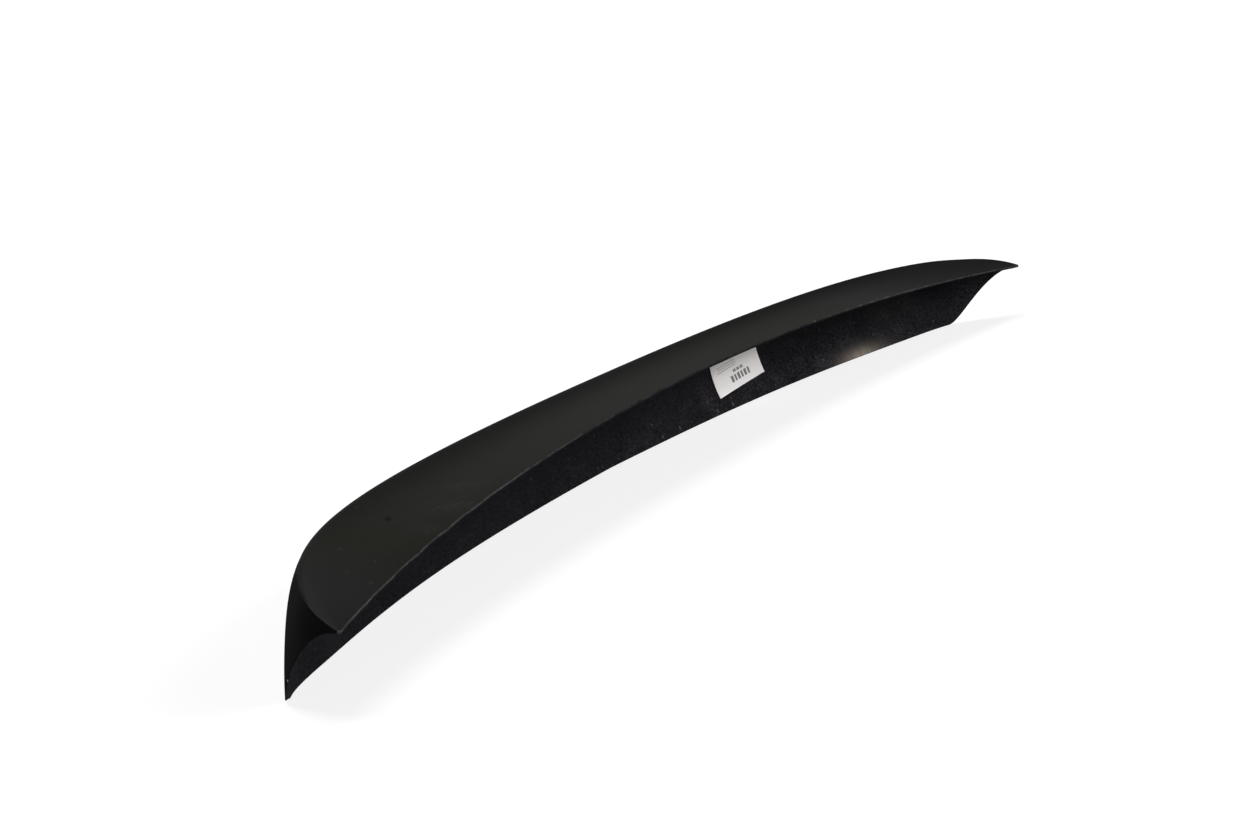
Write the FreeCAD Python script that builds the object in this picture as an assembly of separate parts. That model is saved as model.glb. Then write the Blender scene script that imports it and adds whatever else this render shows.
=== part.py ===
import FreeCAD, Part
import math
import os

from FreeCAD import Vector

# A car boot-lid spoiler: one thin formed plastic shell, with a paper label on its inner side.
# Millimetres. X runs across the car, +Y to the rear and +Z up. The shell stands on its lower
# edge in the plane z = 0, and the origin is the middle of that edge.

# Overall sizes
SPAN = 1250.0            # from tip to tip
TOP_DEPTH = 78.0         # from the front edge back to the crest, at the middle
CREST_HEIGHT = 67.8      # at the middle
WALL = 2.0               # thickness of the formed sheet

# Front edge, cut to lie on the boot lid
FRONT_HEIGHT = 63.0      # at the middle
FRONT_SWEEP = 53.3       # the tips lie this far ahead of the middle
FRONT_CROWN = 22.7       # the middle stands this much above the tips
FRONT_FLATNESS = 0.29    # share of the sweep that follows the fourth power

# Crest, the line where the top surface meets the rear wall. Its guide points run from the tip
# to the middle, as shares of the half span, of the way from the tip back to the middle of the
# crest, and of the rise from the tip to the middle.
CREST_GUIDE = [
    (0.991, 0.147, 0.371),
    (0.930, 0.337, 0.607),
    (0.877, 0.472, 0.815),
    (0.707, 0.771, 0.982),
    (0.335, 1.010, 1.000),
]

# Rear wall. A list holds the guide values of a smooth change from the tip to the middle.
FOOT_REACH = [-4.0, 19.5, 14.0, -1.7, 2.0, 7.2]   # lower edge, behind the crest
SHOULDER_FALL = [60.0, 55.0, 51.0, 51.0]          # degrees below level, just behind the crest
SHOULDER_RUN = 0.39                               # how far that fall leads, in crest heights
FOOT_TRIM = 0.5                                   # cut off below the lower edge

# Section of the top surface
CREST_ROUND = [1.2, 3.0, 7.0]    # tangent length of the crest's rounding
CREST_KICK = [10.0, 16.0, 16.0]  # degrees steeper than the chord, ahead of the crest
FRONT_DIP = 6.0                  # degrees flatter than the chord, at the front edge
FRONT_LEAD = 0.40                # how far each of these angles leads, in top widths
KICK_LEAD = 0.25
ROUND_LIMIT = 0.30               # largest rounding of a narrow section, in top widths
LEAST_ROUND = 0.3                # smallest rounding on the inner side
TIP_WIDTH = 2.5                  # the tips are blunt by this much

# The boot lid, which the sheet is trimmed to: a rounded edge, and behind it the plane z = 0
LID_DROP = 1.5           # the rounded edge starts this far below the tips
LID_TOP_RUN = 25.6       # its first direction, backwards and upwards
LID_TOP_RISE = 6.9
LID_END_REACH = 78.8     # it meets the plane this far ahead of the origin
LID_END_RUN = 8.1        # its last direction, backwards and downwards
LID_END_FALL = 4.0
LID_ROOM = 40.0          # the trimming bar passes the shell by this much

# Paper label on the inner side of the rear wall
LABEL_LENGTH = 85.0
LABEL_HEIGHT = 42.0
LABEL_THICKNESS = 0.15
LABEL_MIDDLE = 247.0     # to the right of the middle
LABEL_DROP = 12.3        # from the crest down to its upper edge
LABEL_TILT = 4.0         # degrees, its outer end is the higher one

SECTIONS = 15            # lofted sections from a tip to the middle
CROWDING = 1.5           # they crowd towards the tips
TIP_REGION = 0.2         # the blunt tip is looked for within this share of the crest
HALVINGS = 40            # steps of a search by halving

HALF_SPAN = SPAN / 2
TIP_HEIGHT = FRONT_HEIGHT - FRONT_CROWN
CREST_Y = WALL / 2 - FOOT_REACH[-1]
FRONT_Y = CREST_Y - TOP_DEPTH
TIP_Y = FRONT_Y - FRONT_SWEEP


def spline(poles, degree):
    """Curve with evenly spaced knots that starts and ends on its first and last pole."""
    spans = len(poles) - degree
    knots = [i / spans for i in range(spans + 1)]
    repeats = [degree + 1] + [1] * (spans - 1) + [degree + 1]
    curve = Part.BSplineCurve()
    curve.buildFromPolesMultsKnots(poles, repeats, knots, False, degree)
    return curve


def blend(values, share):
    """Smooth value, from a list's first at share 0 to its last at share 1."""
    return spline([Vector(0, 0, value) for value in values], 2).value(share).z


def last_true(test, low, high):
    """Value between low and high up to which a test holds."""
    for _ in range(HALVINGS):
        middle = (low + high) / 2
        if test(middle):
            low = middle
        else:
            high = middle
    return low


def ray(degrees, length):
    """Step of a length in a section's plane, at an angle above level."""
    angle = math.radians(degrees)
    return Vector(math.cos(angle) * length, math.sin(angle) * length, 0)


def front_edge(x):
    """Point of the front edge at x."""
    u = abs(x) / HALF_SPAN
    sweep = FRONT_SWEEP * ((1 - FRONT_FLATNESS) * u**2 + FRONT_FLATNESS * u**4)
    return Vector(x, FRONT_Y - sweep, FRONT_HEIGHT - FRONT_CROWN * u**2)


def crest_curve():
    """Symmetric curve of the crest from the left tip to the right tip."""
    left = [Vector(-HALF_SPAN, TIP_Y, TIP_HEIGHT)]
    for across, back, up in CREST_GUIDE:
        y = TIP_Y + back * (CREST_Y - TIP_Y)
        z = TIP_HEIGHT + up * (CREST_HEIGHT - TIP_HEIGHT)
        left.append(Vector(-across * HALF_SPAN, y, z))
    right = [Vector(-p.x, p.y, p.z) for p in reversed(left)]
    return spline(left + right, 3)


class Station:
    """Upright plane across the shell, square to the crest in plan."""

    def __init__(self, crest, share):
        self.share = share
        self.crest = crest.value(share / 2)
        along = crest.tangent(share / 2)[0]
        self.back = Vector(-along.y, along.x, 0).normalize()

    def at(self, reach, height):
        """Point of the plane, at a reach behind the crest and a height."""
        return Vector(self.crest.x, self.crest.y, height) + self.back * reach

    def behind_front(self, width):
        point = self.at(-width, 0)
        return point.y > front_edge(point.x).y

    def top_width(self):
        """Plan distance from the crest forward to the front edge."""
        return last_true(self.behind_front, 0, TOP_DEPTH + FRONT_SWEEP)


def below_foot(shoulder, foot):
    """The wall's untrimmed end, in line with its shoulder and its foot."""
    return foot - (shoulder - foot) * (FOOT_TRIM / shoulder.y)


def section_poles(station):
    """Poles of the outer and of the inner curves of a section: top, crest and wall."""
    share = station.share
    width = station.top_width()
    height = station.crest.z
    front_height = front_edge(station.at(-width, 0).x).z
    chord = math.degrees(math.atan2(height - front_height, width))
    start = chord - FRONT_DIP
    rise = chord + blend(CREST_KICK, share)
    fall = -blend(SHOULDER_FALL, share)
    rounding = min(blend(CREST_ROUND, share), ROUND_LIMIT * width)

    front = Vector(-width, front_height, 0)
    crest = Vector(0, height, 0)
    foot = Vector(blend(FOOT_REACH, share), 0, 0)
    before = crest - ray(rise, rounding)
    after = crest + ray(fall, rounding)
    front_step = ray(start, FRONT_LEAD * width / math.cos(math.radians(start)))
    kick_step = ray(rise, KICK_LEAD * width / math.cos(math.radians(rise)))
    shoulder = after + ray(fall, SHOULDER_RUN * height)
    outer = [
        [front, front + front_step, before - kick_step, before],
        [before, crest, after],
        [after, shoulder, foot, below_foot(shoulder, foot)],
    ]

    inside_top = ray(rise - 90, WALL)
    inside_wall = ray(fall - 90, WALL)
    turn = math.radians(rise - fall)
    crest = crest + (inside_top + inside_wall) * (1 / (1 + math.cos(turn)))
    rounding = max(rounding - WALL * math.tan(turn / 2), LEAST_ROUND)
    front = front + ray(start - 90, WALL)
    foot = foot - ray(0, WALL)
    before = crest - ray(rise, rounding)
    after = crest + ray(fall, rounding)
    shoulder = shoulder + inside_wall
    inner = [
        [front, front + front_step, before - kick_step, before],
        [before, crest, after],
        [after, shoulder, foot, below_foot(shoulder, foot)],
    ]
    return outer, inner


def curve_edge(station, poles):
    """Edge through a station's plane with the given poles."""
    curve = Part.BezierCurve()
    curve.setPoles([station.at(p.x, p.y) for p in poles])
    return curve.toShape()


def shell_wire(station):
    """Closed outline of the formed sheet in one section."""
    outer, inner = section_poles(station)
    edges = [curve_edge(station, poles) for poles in outer]
    edges.append(curve_edge(station, [outer[2][-1], inner[2][-1]]))
    for poles in reversed(inner):
        edges.append(curve_edge(station, poles[::-1]))
    edges.append(curve_edge(station, [inner[0][0], outer[0][0]]))
    return Part.Wire(edges)


def lining_wire(station):
    """Closed outline of a thin lining on the inner side of the wall."""
    wall = section_poles(station)[1][2]
    lining = [pole - ray(0, LABEL_THICKNESS) for pole in wall]
    edges = [
        curve_edge(station, wall),
        curve_edge(station, [wall[-1], lining[-1]]),
        curve_edge(station, lining[::-1]),
        curve_edge(station, [lining[0], wall[0]]),
    ]
    return Part.Wire(edges)


def loft(section):
    """Symmetric solid from tip to tip, through one kind of section."""
    crest = crest_curve()
    blunt = last_true(lambda share: Station(crest, share).top_width() < TIP_WIDTH, 0, TIP_REGION)
    wires = []
    for i in range(SECTIONS + 1):
        share = blunt + (1 - blunt) * (i / SECTIONS) ** CROWDING
        wires.append(section(Station(crest, share)))
    for wire in wires[-2::-1]:
        wires.append(wire.mirror(Vector(0, 0, 0), Vector(1, 0, 0)))
    return Part.makeLoft(wires, True, False)


def boot_lid():
    """The boot lid's rounded edge and the plane behind it, as a bar across the car."""
    lead = Vector(0, TIP_Y, TIP_HEIGHT - LID_DROP)
    end = Vector(0, -LID_END_REACH, 0)
    edge = Part.BezierCurve()
    edge.setPoles([
        lead,
        lead + Vector(0, LID_TOP_RUN, LID_TOP_RISE),
        end - Vector(0, LID_END_RUN, -LID_END_FALL),
        end,
    ])
    corners = [
        end,
        Vector(0, LID_ROOM, 0),
        Vector(0, LID_ROOM, -LID_ROOM),
        Vector(0, lead.y - LID_ROOM, -LID_ROOM),
        Vector(0, lead.y - LID_ROOM, lead.z),
        lead,
    ]
    profile = Part.Wire([edge.toShape()] + Part.makePolygon(corners).Edges)
    bar = Part.Face(profile).extrude(Vector(SPAN + 2 * LID_ROOM, 0, 0))
    bar.translate(Vector(-HALF_SPAN - LID_ROOM, 0, 0))
    return bar


def spoiler_shell():
    """The formed sheet, trimmed at both ends to lie on the boot lid."""
    return loft(shell_wire).cut(boot_lid())


def paper_label():
    """A sheet of paper that follows the inner side of the rear wall."""
    outline = Part.makeBox(LABEL_LENGTH, TOP_DEPTH + FRONT_SWEEP, LABEL_HEIGHT)
    outline.translate(Vector(-LABEL_LENGTH / 2, 0, 0))
    outline.rotate(Vector(0, 0, 0), Vector(0, 1, 0), -LABEL_TILT)
    outline.translate(Vector(LABEL_MIDDLE, FRONT_Y, CREST_HEIGHT - LABEL_DROP - LABEL_HEIGHT))
    return loft(lining_wire).common(outline)


def main():
    os.makedirs("parts", exist_ok=True)
    pieces = {"spoiler_shell": spoiler_shell(), "paper_label": paper_label()}
    for name, shape in pieces.items():
        shape.exportStep(f"parts/{name}.step")
        box = shape.optimalBoundingBox()
        print(f"{name}: {len(shape.Solids)} solid, valid {shape.isValid()}, {shape.Volume:.0f} mm3")
        print(f"  {box.XLength:.1f} x {box.YLength:.1f} x {box.ZLength:.1f} mm")
        print(f"  from {box.XMin:.2f} {box.YMin:.2f} {box.ZMin:.2f}")


main()
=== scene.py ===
# %% [markdown]
# A lip spoiler for a car's boot lid.
# The real part is one sheet of black plastic, 2 mm thick, that was pressed over a mould and then
# trimmed with a saw. It has a satin outer skin, a smooth and dusty inner side, and a pale line
# along its cut edges. A paper label is stuck inside its rear wall.
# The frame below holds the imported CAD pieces. They fix every size and place here.

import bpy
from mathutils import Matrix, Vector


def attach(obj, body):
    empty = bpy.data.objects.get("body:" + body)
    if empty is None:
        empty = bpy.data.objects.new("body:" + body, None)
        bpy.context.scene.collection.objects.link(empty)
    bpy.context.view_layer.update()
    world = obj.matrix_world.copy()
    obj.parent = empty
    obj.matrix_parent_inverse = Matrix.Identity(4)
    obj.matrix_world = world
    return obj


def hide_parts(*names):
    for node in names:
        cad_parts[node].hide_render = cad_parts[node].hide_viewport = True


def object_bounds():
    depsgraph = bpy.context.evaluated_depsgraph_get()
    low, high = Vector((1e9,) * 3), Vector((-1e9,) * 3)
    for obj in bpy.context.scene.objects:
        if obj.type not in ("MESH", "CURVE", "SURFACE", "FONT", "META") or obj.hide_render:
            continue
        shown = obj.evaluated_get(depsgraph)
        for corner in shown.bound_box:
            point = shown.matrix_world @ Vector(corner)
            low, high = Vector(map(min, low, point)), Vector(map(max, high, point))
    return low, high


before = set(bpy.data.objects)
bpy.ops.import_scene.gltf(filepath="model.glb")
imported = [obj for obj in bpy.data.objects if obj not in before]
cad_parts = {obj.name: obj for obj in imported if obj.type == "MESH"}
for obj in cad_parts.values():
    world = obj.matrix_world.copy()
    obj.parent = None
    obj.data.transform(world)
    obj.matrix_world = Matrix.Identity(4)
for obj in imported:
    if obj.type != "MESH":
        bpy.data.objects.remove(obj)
cad_low, cad_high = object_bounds()
print("CAD nodes:", sorted(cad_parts))

# %% Modules and units
import math

import bmesh
import bpy
import numpy as np
from mathutils import Matrix, Vector
from mathutils.bvhtree import BVHTree

MM = 0.001  # Blender works in metres, and the sizes of the shapes below are in millimetres

# %% [markdown]
# The CAD piece is stored as flat facets, up to a quarter of a millimetre off the true surface. A
# satin skin shows such facets in its reflections. So the sheet is made again here as a dense mesh,
# from the same driving sizes as the CAD piece, and it takes that piece's place.
# These sizes are the outline: the front edge is a formula, and the crest is a smooth curve.

# %% Driving sizes of the outline
HALF_SPAN = 625.0
TOP_DEPTH = 78.0       # from the front edge back to the crest, at the middle
CREST_HEIGHT = 67.8    # at the middle
WALL = 2.0             # thickness of the sheet
FRONT_HEIGHT = 63.0    # at the middle
FRONT_SWEEP = 53.3     # the tips lie this far ahead of the middle
FRONT_CROWN = 22.7     # the middle stands this much above the tips
FRONT_FLATNESS = 0.29  # share of the sweep that follows the fourth power

FOOT_REACH = [-4.0, 19.5, 14.0, -1.7, 2.0, 7.2]  # from the tip to the middle, as all such lists

TIP_HEIGHT = FRONT_HEIGHT - FRONT_CROWN
CREST_Y = WALL / 2 - FOOT_REACH[-1]
FRONT_Y = CREST_Y - TOP_DEPTH
TIP_Y = FRONT_Y - FRONT_SWEEP

CREST_GUIDE = np.array([  # shares of the half span, of the reach and of the rise
    (1.000, 0.000, 0.000),
    (0.991, 0.147, 0.371),
    (0.930, 0.337, 0.607),
    (0.877, 0.472, 0.815),
    (0.707, 0.771, 0.982),
    (0.335, 1.010, 1.000),
])
LEFT_CREST = np.column_stack([
    -HALF_SPAN * CREST_GUIDE[:, 0],
    TIP_Y + (CREST_Y - TIP_Y) * CREST_GUIDE[:, 1],
    TIP_HEIGHT + (CREST_HEIGHT - TIP_HEIGHT) * CREST_GUIDE[:, 2],
])
CREST_POLES = np.vstack([LEFT_CREST, LEFT_CREST[::-1] * (-1, 1, 1)])
print(f"crest guided by {len(CREST_POLES)} poles, tips {2 * HALF_SPAN:.0f} mm apart")

# %% [markdown]
# Two helpers carry the whole shape. One gives points of a smooth curve with evenly spaced knots,
# which is how a loft draws its guides. The other finds the place where something stops being true
# by halving, for all sections of the shell at once.

# %% Curves and searches
LAST_SHARE = 1 - 1e-12  # a curve's end still belongs to its last span
LEAST_LENGTH = 1e-9     # stands in for a vanishing length in a division


def spline(poles, degree, shares):
    """Points of a clamped B-spline with evenly spaced knots."""
    poles = np.asarray(poles, float)
    inner = np.linspace(0, 1, len(poles) - degree + 1)
    knots = np.concatenate([np.zeros(degree), inner, np.ones(degree)])
    at = np.clip(shares, 0, LAST_SHARE)[:, None]
    weights = ((knots[:-1] <= at) & (at < knots[1:])).astype(float)
    for order in range(1, degree + 1):
        run = knots[order:] - knots[:-order]
        rise = np.divide(at - knots[:-order], run, out=np.zeros((len(at), len(run))), where=run > 0)
        weights = rise[:, :-1] * weights[:, :-1] + (1 - rise[:, 1:]) * weights[:, 1:]
    return weights @ poles


def blend(values, shares):
    """Smooth change from a list's first value to its last."""
    return spline(np.array(values)[:, None], 2, shares)[:, 0]


def last_true(test, low, high, halvings=40):
    """Values between low and high up to which a test holds, one for each section."""
    for _ in range(halvings):
        middle = (low + high) / 2
        holds = test(middle)
        low, high = np.where(holds, middle, low), np.where(holds, high, middle)
    return low


def bezier(poles, shares):
    """Points of one Bezier curve in each section, with (sections, 2) poles."""
    points = [pole[:, None, :] for pole in poles]
    at = np.asarray(shares)[..., None]
    while len(points) > 1:
        points = [a + (b - a) * at for a, b in zip(points, points[1:])]
    return points[0]


# %% [markdown]
# The shell is cut by upright planes that stand square to the crest. In each plane a point is
# given by its reach behind the crest and its height. The planes crowd towards the tips, where the
# shape turns quickly, and the tips themselves are blunt.

# %% Sections along the crest
SECTIONS = 330  # from a tip to the middle
CROWDING = 1.5
TIP_WIDTH = 2.5
TIP_REGION = 0.2  # share of the crest in which the blunt tip is looked for


def front_edge(x):
    """Reach across the car and height of the front edge at x."""
    u = np.abs(x) / HALF_SPAN
    sweep = FRONT_SWEEP * ((1 - FRONT_FLATNESS) * u**2 + FRONT_FLATNESS * u**4)
    return FRONT_Y - sweep, FRONT_HEIGHT - FRONT_CROWN * u**2


def crest_frame(shares):
    """Crest point, and level direction to the rear, of each section of the left half."""
    step = 1e-5
    crest = spline(CREST_POLES, 3, shares / 2)
    along = spline(CREST_POLES, 3, shares / 2 + step) - spline(CREST_POLES, 3, shares / 2 - step)
    back = np.column_stack([-along[:, 1], along[:, 0]])
    return crest, back / np.linalg.norm(back, axis=1, keepdims=True)


def top_width(shares):
    """Plan distance from the crest forward to the front edge."""
    crest, back = crest_frame(shares)

    def behind_front(width):
        point = crest[:, :2] - back * width[:, None]
        return point[:, 1] > front_edge(point[:, 0])[0]

    return last_true(behind_front, np.zeros(len(shares)), TOP_DEPTH + FRONT_SWEEP)


blunt = last_true(lambda share: top_width(share) < TIP_WIDTH, np.zeros(1), TIP_REGION)[0]
shares = blunt + (1 - blunt) * np.linspace(0, 1, SECTIONS + 1) ** CROWDING
crest, back = crest_frame(shares)
width = top_width(shares)
print(f"{len(shares)} sections, top {width[0]:.1f} mm wide at the tip and {width[-1]:.1f} in the middle")

# %% [markdown]
# One section is a top, a rounded crest and a bulging wall. The top dips a little behind the front
# edge and kicks up before the crest. The inner side is the same outline moved in by the thickness
# of the sheet, so that both sides stay parallel as in a real pressed sheet.

# %% Sizes of a section
SHOULDER_FALL = [60.0, 55.0, 51.0, 51.0]  # degrees below level, just behind the crest
SHOULDER_RUN = 0.39                       # how far that fall leads, in crest heights
CREST_ROUND = [1.2, 3.0, 7.0]             # tangent length of the crest's rounding
CREST_KICK = [10.0, 16.0, 16.0]           # degrees steeper than the chord, ahead of the crest
FRONT_DIP = 6.0                           # degrees flatter than the chord, at the front edge
FRONT_LEAD = 0.40                         # how far each of these two angles leads, in top widths
KICK_LEAD = 0.25
ROUND_LIMIT = 0.30  # largest rounding of a narrow section, in top widths
LEAST_ROUND = 0.3   # smallest rounding on the inner side
FOOT_TRIM = 0.5     # the wall runs on below the lower edge by this much

# %% Poles of the outer and the inner side
def ray(degrees, length):
    """Step of a length in each section's plane, at an angle above level."""
    angle = np.radians(degrees)
    return np.stack([np.cos(angle) * length, np.sin(angle) * length], axis=-1)


def side_poles(front, crest_point, shoulder, foot, steps, rise, fall, rounding):
    """Poles of the three curves of one side: top, crest and wall."""
    before = crest_point - ray(rise, rounding)
    after = crest_point + ray(fall, rounding)
    shoulder = after + shoulder
    end = foot - (shoulder - foot) * (FOOT_TRIM / shoulder[:, 1])[:, None]
    return [
        [front, front + steps[0], before - steps[1], before],
        [before, crest_point, after],
        [after, shoulder, foot, end],
    ]


height = crest[:, 2]
front_height = front_edge(crest[:, 0] - back[:, 0] * width)[1]
chord = np.degrees(np.arctan2(height - front_height, width))
start = chord - FRONT_DIP
rise = chord + blend(CREST_KICK, shares)
fall = -blend(SHOULDER_FALL, shares)
rounding = np.minimum(blend(CREST_ROUND, shares), ROUND_LIMIT * width)
flat = np.zeros_like(width)
steps = [
    ray(start, FRONT_LEAD * width / np.cos(np.radians(start))),
    ray(rise, KICK_LEAD * width / np.cos(np.radians(rise))),
]
run = ray(fall, SHOULDER_RUN * height)
front = np.column_stack([-width, front_height])
top_of_crest = np.column_stack([flat, height])
foot = np.column_stack([blend(FOOT_REACH, shares), flat])
outer_poles = side_poles(front, top_of_crest, run, foot, steps, rise, fall, rounding)

turn = np.radians(rise - fall)
inward = ray(rise - 90, WALL) + ray(fall - 90, WALL)
inner_crest = top_of_crest + inward / (1 + np.cos(turn))[:, None]
inner_rounding = np.maximum(rounding - WALL * np.tan(turn / 2), LEAST_ROUND)
inner_front = front + ray(start - 90, WALL)
inner_foot = foot - (WALL, 0)
inner_start = inner_crest + ray(fall, inner_rounding)
outer_start = top_of_crest + ray(fall, rounding)
inner_run = run + outer_start + ray(fall - 90, WALL) - inner_start
inner_poles = side_poles(
    inner_front, inner_crest, inner_run, inner_foot, steps, rise, fall, inner_rounding
)
print(f"crest rounding {rounding[0]:.1f} mm at the tip and {rounding[-1]:.1f} in the middle")

# %% [markdown]
# The sheet is trimmed to lie on the boot lid: a rounded edge at both ends, and a level plane
# along the rear. Each wall curve is ended where it meets that surface, so every row of the mesh
# runs true to the cut and no boolean tears it.

# %% The trimming surface
LID_DROP = 1.5      # the rounded edge starts this far below the tips
LID_TOP_RUN = 25.6  # its first direction, backwards and upwards
LID_TOP_RISE = 6.9
LID_END_REACH = 78.8  # it meets the plane this far ahead of the origin
LID_END_RUN = 8.1     # its last direction, backwards and downwards
LID_END_FALL = 4.0
LID_STEPS = 400

LID_POLES = [
    (TIP_Y, TIP_HEIGHT - LID_DROP),
    (TIP_Y + LID_TOP_RUN, TIP_HEIGHT - LID_DROP + LID_TOP_RISE),
    (-LID_END_REACH - LID_END_RUN, LID_END_FALL),
    (-LID_END_REACH, 0.0),
]
lid_curve = bezier([np.array([pole]) for pole in LID_POLES], np.linspace(0, 1, LID_STEPS))[0]


def lid_height(y):
    """Height of the boot lid's surface under a point."""
    return np.interp(y, lid_curve[:, 0], lid_curve[:, 1])


def placed(points):
    """Points of the sections' planes as points in space."""
    level = crest[:, None, :2] + back[:, None, :] * points[..., :1]
    return np.concatenate([level, points[..., 1:]], axis=2)


def trimmed_share(wall):
    """How far along each wall curve the sheet is cut."""
    def above_lid(share):
        point = placed(bezier(wall, share[:, None]))[:, 0]
        return point[:, 2] > lid_height(point[:, 1])

    return last_true(above_lid, flat, flat + 1)


print(f"boot lid's edge rises to {lid_curve[:, 1].max():.1f} mm")

# %% [markdown]
# Rows of points go round each section: the outer side, the cut lower edge, the inner side and the
# cut front edge. The four corners of the sheet get a small round of 0.35 mm. Real cut plastic is
# never sharper than that, and only a rounded corner catches the thin lines of light that show in
# the photo. A row close to each corner keeps the shading of the wide faces clean.

# %% Rows of points along each side
TOP_ROWS, CREST_ROWS, WALL_ROWS = 24, 9, 22
CORNER = 0.35
FRONT_LIMIT = 0.2   # share of the top's curve that a corner's round takes up at most
FOOT_LIMIT = 0.4    # and of the wall's curve
CUT_LIMIT = 0.3     # and of the cut's width
BESIDE = 1.5        # the extra row lies this many lengths of the round beyond it
BESIDE_LIMIT = 0.4  # but at most about this share of a row's step


def gap_share(poles, at, length):
    """Share of a curve that a length takes up near one of its places."""
    nudge = 1e-3
    ahead = bezier(poles, np.clip(at + nudge, 0, 1)[:, None])[:, 0]
    behind = bezier(poles, np.clip(at - nudge, 0, 1)[:, None])[:, 0]
    travelled = np.clip(at + nudge, 0, 1) - np.clip(at - nudge, 0, 1)
    return length * travelled / np.maximum(np.linalg.norm(ahead - behind, axis=1), LEAST_LENGTH)


def eased(low, high, count, near_low=0.0, near_high=0.0):
    """Rows of shares from low to high, with an extra row near an end that is a cut corner."""
    low, high = low[:, None], high[:, None]
    rows = low + (high - low) * np.linspace(0, 1, count)
    limit = (high - low) * BESIDE_LIMIT / count
    extra = []
    if np.ndim(near_low):
        extra.append(low + np.minimum(near_low[:, None], limit))
    if np.ndim(near_high):
        extra.append(high - np.minimum(near_high[:, None], limit))
    return np.sort(np.concatenate([rows] + extra, axis=1), axis=1)


def side_rows(poles):
    """Rows of one side from the front edge to the foot, and its two sharp corners."""
    top, bend, wall = poles
    corner = np.full_like(width, CORNER)
    front_gap = np.minimum(gap_share(top, flat, corner), FRONT_LIMIT)
    end = trimmed_share(wall)
    foot_gap = np.minimum(gap_share(wall, end, corner), FOOT_LIMIT * end)
    rows = [
        bezier(top, eased(front_gap, flat + 1, TOP_ROWS, near_low=BESIDE * front_gap)),
        bezier(bend, np.linspace(0, 1, CREST_ROWS)[1:-1]),
        bezier(wall, eased(flat, end - foot_gap, WALL_ROWS, near_high=BESIDE * foot_gap)),
    ]
    corners = [top[0][:, None, :], bezier(wall, end[:, None])]
    return placed(np.concatenate(rows, axis=1)), [placed(point) for point in corners]


outside, (front_outer, foot_outer) = side_rows(outer_poles)
inside, (front_inner, foot_inner) = side_rows(inner_poles)
inside = inside[:, ::-1]
print(f"{outside.shape[1]} rows on each side of the sheet")

# %% Rows across both cut edges, and the whole rings
def rounded_cut(before, corner_a, corner_b, after):
    """Rows across a cut edge between two surfaces, with both of its corners rounded."""
    across = corner_b - corner_a
    length = np.linalg.norm(across, axis=2, keepdims=True)
    inset = across * np.minimum(CORNER / np.maximum(length, LEAST_LENGTH), CUT_LIMIT)
    first, last = corner_a + inset, corner_b - inset
    round_a = (before + 2 * corner_a + first) / 4
    round_b = (last + 2 * corner_b + after) / 4
    return np.concatenate([round_a, first, (first + last) / 2, last, round_b], axis=1)


foot_cut = rounded_cut(outside[:, -1:], foot_outer, foot_inner, inside[:, :1])
front_cut = rounded_cut(inside[:, -1:], front_inner, front_outer, outside[:, :1])
left = np.concatenate([outside, foot_cut, inside, front_cut], axis=1)
left[..., 2] = np.maximum(left[..., 2], lid_height(left[..., 1]))
rings = np.concatenate([left, left[-2::-1] * (-1, 1, 1)])
print(f"{rings.shape[0]} rings of {rings.shape[1]} points")

# %% [markdown]
# A saw never follows its line exactly. The front edge wanders by a fraction of a millimetre, it
# waves by almost a millimetre near the left tip, and it has two small chips on its right half. All
# are moved into the mesh itself, because its outline shows against the dark inner side. The cut
# only ever goes into the true sheet, never out of it.

# %% The hand-sawn front edge
WANDER = [  # wave length, size and phase
    (47.0, 0.14, 0.4),
    (21.0, 0.10, 1.9),
    (8.3, 0.05, 4.1),
]
WANDER_FADE = 4.0      # the cut's faults fade out this far behind the edge
WAVES_MIDDLE = -455.0  # the stronger waves lie round this place across the car
WAVES_SPREAD = 110.0
WAVES = (48.0, 0.45, 0.9)  # wave length, size and phase
CHIPS = [                  # place across the car, half width and depth
    (212.7, 1.6, 0.9),
    (307.3, 1.9, 1.1),
]


def waving(x, length, size, phase):
    """Depth of a wave that only goes one way from its line."""
    return size * (1 + np.sin(2 * np.pi * x / length + phase))


mirrored_cut = -front_cut[-2::-1] * (1, -1, -1)
edge_line = np.concatenate([front_cut, mirrored_cut]).mean(axis=1, keepdims=True)
from_edge = np.linalg.norm(rings - edge_line, axis=2)
pull = np.exp(-((from_edge / WANDER_FADE) ** 2))
across = rings[..., 0]
recess = sum(waving(across, *wave) for wave in WANDER)
recess = recess + np.exp(-(((across - WAVES_MIDDLE) / WAVES_SPREAD) ** 2)) * waving(across, *WAVES)
for place, half, depth in CHIPS:
    recess = recess + depth * np.clip(1 - ((across - place) / half) ** 2, 0, 1)
rings[..., 1] += recess * pull
print(f"front edge set back by {recess.max():.2f} mm at most")

# %% [markdown]
# The rings become one closed mesh of quads. Each face also gets a place on the unrolled sheet, in
# metres along the spoiler and round its section, as a UV map. The skin's painted shade towards the
# rear and the combed, painted warm reflection on the inner side follow that map.

# %% Mesh of the shell
SKIN, CUT, INNER = 0, 1, 2  # places of the sheet's three materials
WELD = 5e-6                 # points closer than this, in metres, become one


def sheet_places(rings):
    """Place of each point on the unrolled sheet, with each ring's first point again at its end."""
    closed = np.concatenate([rings, rings[:, :1]], axis=1)
    along = np.zeros(len(rings))
    along[1:] = np.cumsum(np.linalg.norm(np.diff(rings[:, TOP_ROWS], axis=0), axis=1))
    round_it = np.zeros(closed.shape[:2])
    round_it[:, 1:] = np.cumsum(np.linalg.norm(np.diff(closed, axis=1), axis=2), axis=1)
    return np.stack([np.broadcast_to(along[:, None], round_it.shape), round_it], axis=2)


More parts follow.
